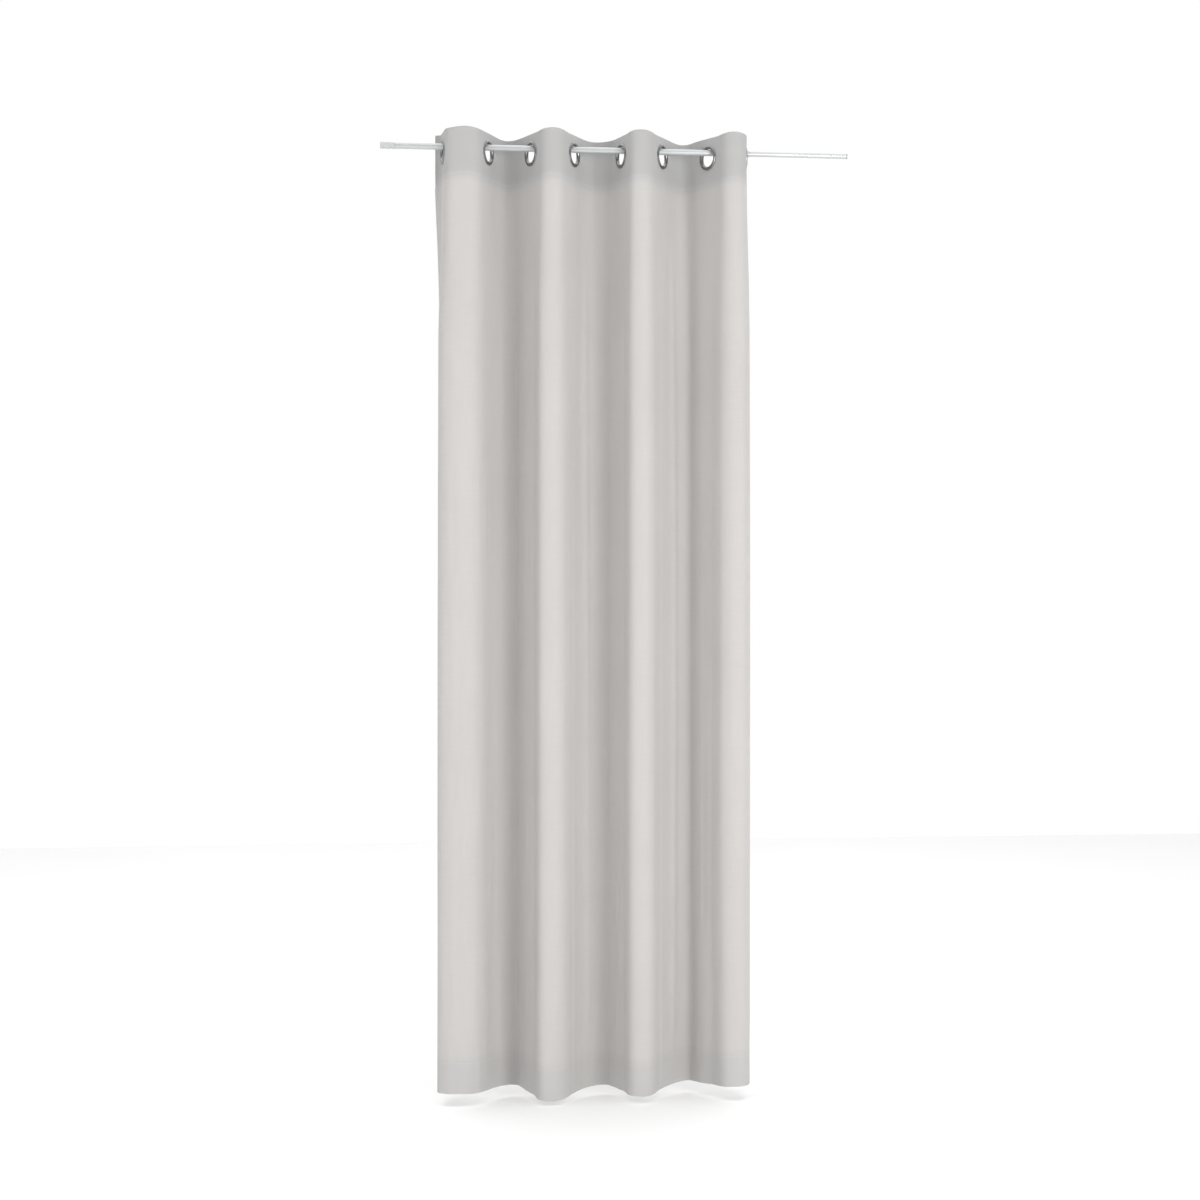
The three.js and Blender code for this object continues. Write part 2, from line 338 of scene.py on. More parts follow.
def eyelet_finish(looks):
    """Pressed and plated metal, with a fine haze and a few rub marks."""
    finish = Finish("dark_nickel", Metallic=1.0)
    place = finish.add("ShaderNodeTexCoord", {}, {}, "Object")
    haze = finish.noise(place, 90.0, 4.0, 0.6)
    rubs = finish.noise(finish.stretched(place, 900, 900, 120), 1.0, 2.0)
    finish.colour(finish.mix(haze, shade(looks.colour, 0.82), shade(looks.colour, 1.2)))
    finish.roughness(haze * 0.14 + rubs * 0.08 + 0.16)
    finish.bump(rubs, 0.00002, 0.4)
    return finish.material


def rod_finish(name, colour, metal, rough):
    """A satin coating drawn along the tube, with faint lengthways lines."""
    finish = Finish(name, Metallic=metal, Coat_Weight=0.15, Coat_Roughness=0.3)
    place = finish.add("ShaderNodeTexCoord", {}, {}, "Object")
    lines = finish.noise(finish.stretched(place, 6, 2400, 2400), 1.0, 2.0)
    cloud = finish.noise(place, 24.0, 3.0)
    finish.colour(finish.mix(lines * 0.6 + cloud * 0.4, shade(colour, 0.93), shade(colour, 1.06)))
    finish.roughness(lines * 0.1 + cloud * 0.08 + rough)
    finish.bump(lines, 0.00002, 0.5)
    return finish.material


def floor_finish():
    """A plain pale matt floor with a faint mottle."""
    finish = Finish("pale_floor", Specular_IOR_Level=0.1)
    place = finish.add("ShaderNodeTexCoord", {}, {}, "Object")
    mottle = finish.noise(place, 1.5, 4.0)
    finish.colour(finish.mix(mottle, (0.93, 0.93, 0.93), (0.96, 0.96, 0.96)))
    finish.roughness(mottle * 0.05 + 0.9)
    return finish.material


def backdrop_finish():
    """A lit white screen behind the panel."""
    finish = Finish("lit_screen", Specular_IOR_Level=0.0, Roughness=1.0, Emission_Strength=1.0)
    finish.colour((0.0, 0.0, 0.0))
    finish.feed(finish.shader.inputs["Emission Color"], (1.0, 1.0, 1.0))
    return finish.material


_finishes = {}


def finish_of(name):
    """Each finish is made once, from the scene's settings."""
    scene = bpy.context.scene
    makers = {
        "cloth": lambda: cloth_finish(scene.curtain_cloth),
        "thread": lambda: thread_finish(scene.curtain_cloth),
        "stiffener": stiffener_finish,
        "label": label_finish,
        "eyelet": lambda: eyelet_finish(scene.curtain_eyelets),
        "rod": lambda: rod_finish("satin_silver", scene.curtain_rod.colour, 0.55, 0.3),
        "cap": lambda: rod_finish("silver_plastic", scene.curtain_rod.cap_colour, 0.1, 0.4),
        "floor": floor_finish,
        "backdrop": backdrop_finish,
    }
    if name not in _finishes:
        _finishes[name] = makers[name]()
    return _finishes[name]


# ---------------------------------------------------------------- the cloth's shape


def bezier(points, count):
    t = np.linspace(0, 1, count)[:, None]
    a, b, c, d = (np.asarray(p, float) for p in points)
    return a * (1 - t) ** 3 + 3 * b * t * (1 - t) ** 2 + 3 * c * t**2 * (1 - t) + d * t**3


def lengths(line):
    return np.concatenate([[0], np.cumsum(np.linalg.norm(np.diff(line, axis=0), axis=1))])


def direction(angle):
    return np.array([math.cos(angle), math.sin(angle)])


def fold_line(left, right, crest_x, depth, way, lean_left, lean_right, flat, skew, turn):
    """The cloth's line over one fold, from eyelet to eyelet. way is -1 for a front fold, and turn is
    how much of the way the crest's own direction holds, so a low one makes a sharp fold."""
    along_crest = direction(-skew)
    crest = np.array([crest_x, way * depth])
    from_left = direction(way * lean_left)
    from_right = direction(math.pi - way * lean_right)
    a = np.array([left, 0.0])
    b = np.array([right, 0.0])
    start, end = a + from_left * flat, b + from_right * flat
    halves = []
    for point, heading, sign in ((start, from_left, -1), (end, from_right, 1)):
        reach = np.linalg.norm(crest - point)
        halves.append(bezier([point, point + heading * reach * (0.66 - turn * 0.65),
                              crest + sign * along_crest * reach * turn, crest], 60))
    return np.vstack([a[None], halves[0], halves[1][::-1][1:], b[None]])


def fold_of_length(length, *args):
    """A fold line that is as long as the flat cloth between its eyelets."""
    left, right, crest_x, way, lean_left, lean_right, flat, skew, turn = args
    low, high = 0.02, length
    for _ in range(40):
        depth = (low + high) / 2
        line = fold_line(left, right, crest_x, depth, way, lean_left, lean_right, flat, skew, turn)
        low, high = (low, depth) if lengths(line)[-1] > length else (depth, high)
    return line


def section(sizes, crests, leans, flat, skew, flares, turns, spread=(0.0, 0.0)):
    """The cloth's line from side to side: flat distances along it, and its points seen from above."""
    xs = [eyelet.x for eyelet in EYELETS]
    xs[0], xs[-1] = xs[0] + spread[0], xs[-1] + spread[1]
    lines = []
    for k in range(FOLDS):
        way = -1 if k % 2 == 0 else 1
        lines.append(fold_of_length(
            sizes.spacing, xs[k], xs[k + 1], (xs[k] + xs[k + 1]) / 2 + crests[k], way,
            leans[k], leans[k + 1], flat, skew, turns[k % 2]))
    ends = []
    for k, side, flare in ((0, -1, flares[0]), (STRIPS - 1, 1, flares[1])):
        way = 1 if side * (-1 if k % 2 == 0 else 1) > 0 else -1
        out = np.array([side * math.cos(leans[k]), way * math.sin(leans[k])])
        start = np.array([xs[k], 0.0])
        tip_angle = math.atan2(out[1], out[0]) + flare
        tip = direction(tip_angle)
        rest = sizes.margin - flat
        ends.append(np.vstack([start[None], bezier([
            start + out * flat, start + out * (flat + rest * 0.2),
            start + out * (flat + rest * 0.2) + (out + tip) * rest * 0.18,
            start + out * (flat + rest * 0.2) + (out + tip) * rest * 0.18 + tip * rest * 0.44], 20)]))
    whole = [ends[0][::-1]]
    for line in [*lines, ends[1]]:
        whole.append(line[1:])
    whole = np.vstack(whole)
    s = lengths(whole)
    return s - lengths(ends[0])[-1] + sizes.margin, whole


def smoothstep(low, high, x):
    t = np.clip((np.asarray(x, float) - low) / (high - low), 0, 1)
    return t * t * (3 - 2 * t)


class Cloth:
    """The hung cloth: where each point of the flat sheet goes. u runs from side to side and v from
    the top edge down, both in metres along the cloth."""

    HOLD = 0.12
    FRAMES = 40

    def __init__(self, sizes):
        self.sizes = sizes
        self.lines = [sizes.margin + sizes.spacing * k for k in range(STRIPS)]
        self.width = 2 * sizes.margin + sizes.spacing * FOLDS
        self.height = TOP - BOTTOM
        self.u = self._columns()
        self.v = self._rows()
        skew = math.radians(6.5)
        leans = list(sizes.leans)
        soft = [a * 0.93 for a in leans]
        soft[0], soft[-1] = sizes.outer_leans
        head = section(sizes, sizes.heading_crests, leans, EYELET_FLAT, skew, (1.4, -0.1), (0.5, 0.2))
        body = section(sizes, sizes.body_crests, soft, 0.012, skew, (0.3, -0.9), (0.55, 0.16),
                       sizes.spread)
        self.points = self._hang(head, body)
        self.points = self._relax()
        self._measure()

    def _columns(self):
        margin = np.linspace(0, self.sizes.margin, 9)
        fold = np.linspace(0, self.sizes.spacing, 27)
        parts = [margin[:-1]]
        for line in self.lines[:-1]:
            parts.append(line + fold[:-1])
        parts.append(self.lines[-1] + margin)
        return np.concatenate(parts)

    def _rows(self):
        head = np.linspace(0, HEADING, 19)
        body = np.linspace(HEADING, self.height - HEM, 141)
        hem = np.linspace(self.height - HEM, self.height, 8)
        return np.concatenate([head[:-1], body[:-1], hem])

    def _hang(self, head, body):
        """Points by row and column, before the cloth relaxes."""
        u, v = self.u, self.v
        sections = [np.stack([np.interp(u, s, line[:, 0]), np.interp(u, s, line[:, 1])], 1)
                    for s, line in (head, body)]
        turn = smoothstep(HEADING - 0.02, 0.55, v)[:, None, None]
        plan = sections[0][None] * (1 - turn) + sections[1][None] * turn
        side = np.gradient(plan, axis=1)
        side /= np.linalg.norm(side, axis=2, keepdims=True)
        out = np.stack([side[..., 1], -side[..., 0]], 2)
        plan = plan + out * self._ripples()[..., None]
        crests = [line + self.sizes.spacing / 2 for line in self.lines[:-1]]
        places = [0.0, *crests, self.width]
        sag = np.interp(u, places, (0.011, *self.sizes.sags, 0.017))
        z = TOP - v[:, None] + sag[None, :] * smoothstep(0.2, self.height, v)[:, None]
        for k, crest in enumerate(crests):
            near = smoothstep(0.036, 0.092, self.sizes.spacing / 2 - np.abs(u - crest))
            amount = -self.sizes.tilt[1] if k % 2 else self.sizes.tilt[0]
            z += amount * near[None, :] * (1 - smoothstep(HEADING, 0.5, v))[:, None]
        return np.dstack([plan, z])

    def _ripples(self):
        """Small creases and ridges, outwards from the cloth's face."""
        u, v = self.u[None, :], self.v[:, None]
        out = np.zeros((len(self.v), len(self.u)))
        rng = np.random.default_rng(7)
        below = smoothstep(0.1, 0.3, v)
        for k in range(FOLDS):
            crest = self.lines[k] + self.sizes.spacing / 2
            if k % 2:
                sharp = (1 - smoothstep(0.05, 0.17, v)) * smoothstep(-0.01, 0.03, v)
                out -= 0.0035 * sharp * np.exp(-np.abs(u - crest + 0.004) / 0.006)
        for k, place, high, wide in ((3, -0.034, 0.0042, 0.010), (5, -0.036, 0.0046, 0.010),
                                     (1, -0.040, 0.0018, 0.014), (6, 0.052, 0.0024, 0.010)):
            ridge = self.lines[k] + self.sizes.spacing / 2 + place
            wander = 0.004 * np.sin(v * 2.3 + k)
            fade = smoothstep(0.12, 0.4, v) * (1 - smoothstep(2.25, 2.42, v))
            out += high * fade * np.exp(-(((u - ridge - wander) / wide) ** 2))
        for _ in range(26):
            centre = rng.uniform(0, self.width)
            long, wide = rng.uniform(0.25, 0.9), rng.uniform(0.012, 0.03)
            middle = rng.uniform(0.35, 2.4)
            drift = rng.uniform(-0.012, 0.012)
            high = rng.uniform(-0.0016, 0.0016)
            away = (u - centre - drift * (v - middle) / long) / wide
            out += below * high * np.exp(-(away**2) - ((v - middle) / long) ** 2)
        return out

    def _relax(self):
        """Lets the cloth settle under its own weight. Its rest shape is the flat sheet, the heading is
        held by the eyelets, and weak springs keep the folds below in their places."""
        rows = np.unique(np.concatenate([np.arange(0, len(self.v), 2), [len(self.v) - 1]]))
        columns = np.unique(np.concatenate([np.arange(0, len(self.u), 2), [len(self.u) - 1]]))
        start = self.points[rows][:, columns]
        shape = start.shape[:2]
        index = np.arange(shape[0] * shape[1]).reshape(shape)
        cells = np.stack([index[:-1, :-1], index[1:, :-1], index[1:, 1:], index[:-1, 1:]], 2)
        mesh = bpy.data.meshes.new("settling_cloth")
        mesh.from_pydata(start.reshape(-1, 3).tolist(), [], cells.reshape(-1, 4).tolist())
        sheet = bpy.data.objects.new("settling_cloth", mesh)
        scene = bpy.context.scene
        scene.collection.objects.link(sheet)
        sheet.shape_key_add(name="hung")
        flat = sheet.shape_key_add(name="flat")
        u, v = np.meshgrid(self.u[columns], self.v[rows])
        laid = np.stack([u, np.zeros_like(u), -v], 2).reshape(-1, 3)
        flat.data.foreach_set("co", laid.astype(np.float32).ravel())
        flat.value = 0.0
        held = sheet.vertex_groups.new(name="held")
        for row, depth in enumerate(self.v[rows]):
            weight = 1.0 if depth <= HEADING + 1e-6 else self.HOLD
            held.add(index[row].tolist(), weight, "REPLACE")
        cloth = sheet.modifiers.new("cloth", "CLOTH")
        settings = cloth.settings
        settings.quality = 5
        settings.mass = 0.12
        settings.air_damping = 1.0
        settings.tension_stiffness = settings.compression_stiffness = 15.0
        settings.shear_stiffness = 5.0
        settings.bending_stiffness = 0.3
        settings.vertex_group_mass = "held"
        settings.pin_stiffness = 1.0
        settings.rest_shape_key = flat
        cloth.collision_settings.use_collision = False
        cloth.point_cache.frame_end = self.FRAMES
        for number in range(1, self.FRAMES + 1):
            scene.frame_set(number)
        graph = bpy.context.evaluated_depsgraph_get()
        settled = sheet.evaluated_get(graph).to_mesh()
        moved = np.empty(len(settled.vertices) * 3, np.float32)
        settled.vertices.foreach_get("co", moved)
        moved = moved.reshape(start.shape).astype(float) - start
        scene.frame_set(1)
        bpy.data.objects.remove(sheet)
        fine_v = np.stack([[np.interp(self.v, self.v[rows], moved[:, j, axis])
                            for j in range(shape[1])] for axis in range(3)], 2)
        fine = np.stack([[np.interp(self.u, self.u[columns], fine_v[:, i, axis])
                          for i in range(len(self.v))] for axis in range(3)], 2)
        return self.points + fine

    def _measure(self):
        """The face's normals, which look out of the room side of the cloth."""
        across = np.gradient(self.points, axis=1)
        down = np.gradient(self.points, axis=0)
        normal = np.cross(down, across)
        self.normals = normal / np.linalg.norm(normal, axis=2, keepdims=True)

    def at(self, u, v, out=0.0):
        """Points of the hung cloth at flat places u, v, moved out of its face, with their normals."""
        u, v = np.asarray(u, float), np.asarray(v, float)
        i = np.clip(np.searchsorted(self.v, v, "right") - 1, 0, len(self.v) - 2)
        j = np.clip(np.searchsorted(self.u, u, "right") - 1, 0, len(self.u) - 2)
        fv = ((v - self.v[i]) / (self.v[i + 1] - self.v[i]))[..., None]
        fu = ((u - self.u[j]) / (self.u[j + 1] - self.u[j]))[..., None]

        def blended(grid):
            return ((grid[i, j] * (1 - fu) + grid[i, j + 1] * fu) * (1 - fv)
                    + (grid[i + 1, j] * (1 - fu) + grid[i + 1, j + 1] * fu) * fv)

        normal = blended(self.normals)
        normal /= np.linalg.norm(normal, axis=-1, keepdims=True)
        return blended(self.points) + normal * np.asarray(out, float)[..., None], normal


_cloth = {}


def hung_cloth():
    if "cloth" not in _cloth:
        _cloth["cloth"] = Cloth(bpy.context.scene.curtain_cloth)
    return _cloth["cloth"]


# ---------------------------------------------------------------- meshes


def new_object(name, points, faces, finish):
    mesh = bpy.data.meshes.new(name)
    mesh.from_pydata(np.asarray(points, float).tolist(), [], faces)
    mesh.materials.append(finish_of(finish))
    mesh.update()
    piece = bpy.data.objects.new(name, mesh)
    bpy.context.scene.collection.objects.link(piece)
    return piece


def point_values(piece, name, kind, values):
    attribute = piece.data.attributes.new(name, kind, "POINT")
    key = "vector" if kind == "FLOAT_VECTOR" else "value"
    attribute.data.foreach_set(key, np.asarray(values, np.float32).ravel())


def sheet_mesh(name, grid, normals, kept, thickness, flat, painted_shade, finish):
    """A closed, smoothly shaded skin of that thickness over a grid of points. kept says which cells
    of the grid are there."""
    rows, columns = grid.shape[:2]
    index = np.arange(rows * columns).reshape(rows, columns)
    cells = np.stack([index[:-1, :-1], index[1:, :-1], index[1:, 1:], index[:-1, 1:]], 2)[kept]
    used = np.unique(cells)
    renumber = np.full(rows * columns, -1)
    renumber[used] = np.arange(len(used))
    cells = renumber[cells]
    base, normal = grid.reshape(-1, 3)[used], normals.reshape(-1, 3)[used]
    half = np.broadcast_to(np.asarray(thickness) / 2, (rows, columns)).reshape(-1)[used][:, None]
    count = len(used)
    points = np.vstack([base + normal * half, base - normal * half])
    edges = {}
    for cell in cells.tolist():
        for a, b in zip(cell, cell[1:] + cell[:1]):
            if (b, a) in edges:
                del edges[(b, a)]
            else:
                edges[(a, b)] = True
    walls = [[b, a, a + count, b + count] for a, b in edges]
    faces = cells.tolist() + (cells[:, ::-1] + count).tolist() + walls
    piece = new_object(name, points, faces, finish)
    mesh = piece.data
    mesh.polygons.foreach_set("use_smooth", np.ones(len(faces), bool))
    corner = np.vstack([normal[cells.ravel()], -normal[cells[:, ::-1].ravel()]])
    flat_walls = []
    for wall in walls:
        a, b, c = (points[i] for i in wall[:3])
        n = np.cross(b - a, c - b)
        flat_walls += [n / max(np.linalg.norm(n), 1e-12)] * 4
    if flat_walls:
        corner = np.vstack([corner, np.array(flat_walls)])
    mesh.normals_split_custom_set(corner.tolist())
    place = np.asarray(flat).reshape(-1, 3)[used]
    point_values(piece, "flat_cloth", "FLOAT_VECTOR", np.vstack([place, place]))
    # painted shade: the mask of darker, cooler tone, stored for both faces of the skin
    tone = np.asarray(painted_shade).reshape(-1)[used]
    point_values(piece, "heading_hem_shade", "FLOAT", np.concatenate([tone, tone]))
    return piece


def turned(name, profile, steps, finish, place=Matrix.Identity(4)):
    """A closed ring or rod turned about Z from a closed profile of (radius, height) points."""
    points, faces, size = [], [], len(profile)
    for i in range(steps):
        angle = 2 * math.pi * i / steps
        for radius, height in profile:
            points.append(place @ Vector((radius * math.cos(angle), radius * math.sin(angle), height)))
    for i in range(steps):
        here, there = i * size, (i + 1) % steps * size
        for j in range(size):
            k = (j + 1) % size
            faces.append([here + j, there + j, there + k, here + k])
    piece = new_object(name, points, faces, finish)
    mesh = piece.data
    mesh.polygons.foreach_set("use_smooth", np.ones(len(faces), bool))
    mesh.set_sharp_from_angle(angle=math.radians(40))
    return piece


def rounded(corners, radius, steps=4):
    """A closed profile with its corners rounded off."""
    out = []
    corners = [Vector(c) for c in corners]
    for i, corner in enumerate(corners):
        before, after = corners[i - 1], corners[(i + 1) % len(corners)]
        cut = min(radius, (before - corner).length * 0.45, (after - corner).length * 0.45)
        a = corner + (before - corner).normalized() * cut
        b = corner + (after - corner).normalized() * cut
        for j in range(steps + 1):
            t = j / steps
            out.append(a * (1 - t) ** 2 + corner * 2 * t * (1 - t) + b * t * t)
    return [tuple(p) for p in out]


# ---------------------------------------------------------------- operators


def spans():
    """Each piece of the cloth: its name, and its first and last flat distance."""
    cloth = hung_cloth()
    out = [("left_edge", 0.0, cloth.lines[0])]
    for k in range(FOLDS):
        out.append((f"fold_{k + 1}", cloth.lines[k], cloth.lines[k + 1]))
    out.append(("right_edge", cloth.lines[-1], cloth.width))
    return out


HEADING_BACK = 0.0024  # from the middle of the cloth's face to the middle of the facing
HEM_BACK = 0.0014
SIDE_BACK = 0.0016
TAPE_BACK = 0.0012
CLOTH_HOLE = 0.0255  # radius of the hole round an eyelet's barrel
TAPE_HOLE = 0.0262
TAPE_EDGE = 0.003  # from the heading's folds to the tape
EYELET_FLAT = 0.034  # stretch of flat cloth on each side of an eyelet


def attach(piece, span):
    """Places a piece of cloth: the right edge's piece rides on the last strip, and the others are baked where
    they stand.
    """
    cloth = hung_cloth()
    if span == "right_edge":
        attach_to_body(piece, f"strip_{STRIPS}")
    elif span == "left_edge":
        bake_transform(piece)
    else:
        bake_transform(piece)


def with_eyelet_holes(flat_u, flat_v, radius):
    """The grid's flat places with those round each eyelet drawn onto its hole's rim, and which of the
    grid's cells are left."""
    low = TOP - EYELETS[0].z
    flat_u, flat_v = flat_u.copy(), flat_v.copy()
    inside = np.zeros(flat_u.shape, bool)
    for line in hung_cloth().lines:
        inside |= np.hypot(flat_u - line, flat_v - low) < radius
    kept = ~(inside[:-1, :-1] | inside[1:, :-1] | inside[1:, 1:] | inside[:-1, 1:])
    beside = np.zeros(flat_u.shape, bool)
    rows, columns = flat_u.shape
    for i, j in ((0, 0), (1, 0), (1, 1), (0, 1)):
        beside[i:rows - 1 + i, j:columns - 1 + j] |= ~kept
    beside &= ~inside
    for line in hung_cloth().lines:
        away_u, away_v = flat_u - line, flat_v - low
        far = np.hypot(away_u, away_v)
        near = beside & (far < radius * 2)
        scale = np.where(near, radius / np.maximum(far, 1e-6), 1.0)
        flat_u = np.where(near, line + away_u * scale, flat_u)
        flat_v = np.where(near, low + away_v * scale, flat_v)
    return flat_u, flat_v, kept


def flat_places(flat_u, down):
    return np.dstack([flat_u, np.broadcast_to(down, flat_u.shape), np.zeros(flat_u.shape)])


def nodes_of(span):
    """The frame's nodes of cloth that a span takes the place of."""
    if span == "left_edge":
        return ["panel_edge_left"]
    if span == "right_edge":
        return ["panel_edge_right"]
    k = int(span.split("_")[1])
    numbers = [k, STRIPS] if k == FOLDS else [k]
    return [f"{part}_{n}" for n in numbers for part in ("panel_strip", "heading_band", "bottom_hem")]


class CURTAIN_OT_cloth(bpy.types.Operator):
    """Hang the cloth, with its heading and hems turned to the back"""

    bl_idname = "curtain.cloth"
    bl_label = "Cloth"

    def execute(self, context):
        sizes = context.scene.curtain_cloth
        cloth = hung_cloth()
        rows = self.profile(cloth)
        vs, behind, lift, down, turn = (np.array(column)[:, None] for column in zip(*rows))
        up = np.array([0.0, 0.0, 1.0])
        for name, first, last in spans():
            u = cloth.u[(cloth.u > first - 1e-6) & (cloth.u < last + 1e-6)]
            flat_u, flat_v = np.broadcast_arrays(u[None, :], vs)
            flat_u, flat_v, kept = with_eyelet_holes(flat_u, flat_v, CLOTH_HOLE)
            points, normals = cloth.at(flat_u, flat_v, -np.broadcast_to(behind, flat_u.shape))
            points[..., 2] += lift
            skin = normals * np.cos(turn)[..., None] + up * np.sin(turn)[..., None]
            skin /= np.linalg.norm(skin, axis=2, keepdims=True)
            # painted shade: mask of the darker, cooler tone over the heading and near the hem, where the
            # light falls off towards the top and bottom
            painted_shade = 0.95 * (1 - smoothstep(HEADING - 0.02, HEADING + 0.025, flat_v)) + 0.3 * smoothstep(
                cloth.height - 0.1, cloth.height - 0.07, flat_v)
            piece = sheet_mesh(f"cloth_{name}", points, skin, kept, sizes.thickness,
                               flat_places(flat_u, down), painted_shade, "cloth")
            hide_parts(*nodes_of(name))
            attach(piece, name)
            last - first
        return {"FINISHED"}

    def profile(self, cloth):
        """The cloth from the facing's lower edge, over the top, down the face and up the hem: each row's
        depth below the top, distance behind the face, lift, flat distance down, and turn to the back."""
        rows = [(HEADING * (1 - t), HEADING_BACK, 0.0, -HEADING * (1 - t), math.pi)
                for t in np.linspace(0, 1, 19)[:-1]]
        rows += [(0.0, HEADING_BACK * (1 - math.cos(a)) / 2, HEADING_BACK / 2 * math.sin(a), 0.0, a)
                 for a in np.linspace(math.pi, 0, 7)]
        rows += [(v, 0.0, 0.0, v, 0.0) for v in cloth.v[1:-1]]
        rows += [(cloth.height, HEM_BACK * (1 - math.cos(a)) / 2, -HEM_BACK / 2 * math.sin(a),
                  cloth.height, -a) for a in np.linspace(0, math.pi, 6)]
        rows += [(cloth.height - HEM * t, HEM_BACK, 0.0, cloth.height + HEM * t, -math.pi)
                 for t in np.linspace(0, 1, 8)[1:]]
        return rows


class CURTAIN_OT_side_hems(bpy.types.Operator):
    """Turn the side edges under"""

    bl_idname = "curtain.side_hems"
    bl_label = "Side hems"

    def execute(self, context):
        sizes = context.scene.curtain_cloth
        cloth = hung_cloth()
        # round the edge, then straight across: inwards, behind, outwards, along the cloth, and the turn
        bend = np.linspace(0, math.pi, 7)
        straight = sizes.side_hem * np.array([0.25, 0.5, 0.75, 1.0])
        across = np.concatenate([np.zeros(7), straight])
        behind = np.concatenate([SIDE_BACK * (1 - np.cos(bend)) / 2, np.full(4, SIDE_BACK)])
        aside = np.concatenate([SIDE_BACK / 2 * np.sin(bend), np.zeros(4)])
        along = np.concatenate([SIDE_BACK * bend / 2, SIDE_BACK * math.pi / 2 + straight])
        turn = np.concatenate([bend, np.full(4, math.pi)])
        for name, edge, way, node in (("left", 0.0, 1, "side_hem_left"),
                                      ("right", cloth.width, -1, "side_hem_right")):
            v = cloth.v[(cloth.v > HEADING + 0.001) & (cloth.v < cloth.height - HEM - 0.001)]
            flat_u, flat_v = np.broadcast_arrays(np.array(edge + way * across)[None, :], v[:, None])
            points, normals = cloth.at(flat_u, flat_v, -np.broadcast_to(behind, flat_u.shape))
            inner, _ = cloth.at(flat_u + way * 0.004, flat_v, 0.0)
            outer, _ = cloth.at(flat_u, flat_v, 0.0)
            outwards = outer - inner
            outwards /= np.linalg.norm(outwards, axis=2, keepdims=True)
            points = points + outwards * aside[None, :, None]
            skin = normals * np.cos(turn)[None, :, None] + outwards * np.sin(turn)[None, :, None]
            skin /= np.linalg.norm(skin, axis=2, keepdims=True)
            place = np.dstack([np.broadcast_to(edge - way * along, flat_u.shape), flat_v,
                               np.zeros(flat_u.shape)])
            if way > 0:
                points, skin, place = points[:, ::-1], skin[:, ::-1], place[:, ::-1]
            kept = np.ones((len(v) - 1, flat_u.shape[1] - 1), bool)
            # painted shade: the side hems get a fifth of the heading's darker, cooler tone
            piece = sheet_mesh(f"side_hem_cloth_{name}", points, skin, kept, sizes.thickness * 0.9,
                               place, np.full(flat_u.shape, 0.2), "cloth")
            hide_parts(node)
            attach(piece, f"{name}_edge")
        return {"FINISHED"}


class CURTAIN_OT_stiffener(bpy.types.Operator):
    """Lay the stiffening tape inside the heading"""

    bl_idname = "curtain.stiffener"
    bl_label = "Heading tape"

    def execute(self, context):
        cloth = hung_cloth()
        for name, first, last in spans():
            if name == "left_edge":
                continue
            u = cloth.u[(cloth.u > first - 1e-6) & (cloth.u < last + 1e-6)]
            v = np.linspace(TAPE_EDGE, HEADING - TAPE_EDGE, 18)
            flat_u, flat_v, kept = with_eyelet_holes(*np.meshgrid(u, v), TAPE_HOLE)
            points, normals = cloth.at(flat_u, flat_v, np.full(flat_u.shape, -TAPE_BACK))
            place = flat_places(flat_u, flat_v)
            piece = sheet_mesh(f"heading_tape_{name}", points, normals, kept, 0.0006, place,
                               np.zeros(flat_u.shape), "stiffener")
            number = STRIPS if name == "right_edge" else name.split("_")[1]
            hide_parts(f"heading_stiffener_{number}")
            attach(piece, name)
            hole = math.pi * TAPE_HOLE**2 * (0.5 if name == "right_edge" else 1.0)
            flat = (last - first, HEADING - 2 * TAPE_EDGE)
            flat[0] * flat[1] - hole
        return {"FINISHED"}


def stitch_shapes(cloth, u, v, along_u, out, length):
    """A row of stitches at flat places u, v, each lying along the row."""
    half, wide, high = length / 2, 0.00032, 0.0003
    ring = [(-half, 0, 0), (-half * 0.6, -wide, 0), (-half * 0.6, 0, high), (-half * 0.6, wide, 0),
            (half * 0.6, -wide, 0), (half * 0.6, 0, high), (half * 0.6, wide, 0), (half, 0, 0)]
    faces = [(0, 2, 1), (0, 3, 2), (1, 2, 5, 4), (2, 3, 6, 5), (3, 1, 4, 6), (7, 4, 5), (7, 5, 6),
             (7, 6, 4), (0, 1, 3)]
    centre, normal = cloth.at(u, v, np.full(np.shape(u), out))
    step = 0.002
    ahead, _ = cloth.at(u + (step if along_u else 0), v + (0 if along_u else step), np.full(np.shape(u), out))
    along = ahead - centre
    along /= np.linalg.norm(along, axis=1, keepdims=True)
    normal = normal * (1 if out > 0 else -1)
    side = np.cross(normal, along)
    shape = np.array(ring)
    points = (centre[:, None] + along[:, None] * shape[None, :, :1] + side[:, None] * shape[None, :, 1:2]
              + normal[:, None] * shape[None, :, 2:])
    many = [[8 * i + j for j in face] for i in range(len(centre)) for face in faces]
    return points.reshape(-1, 3), many


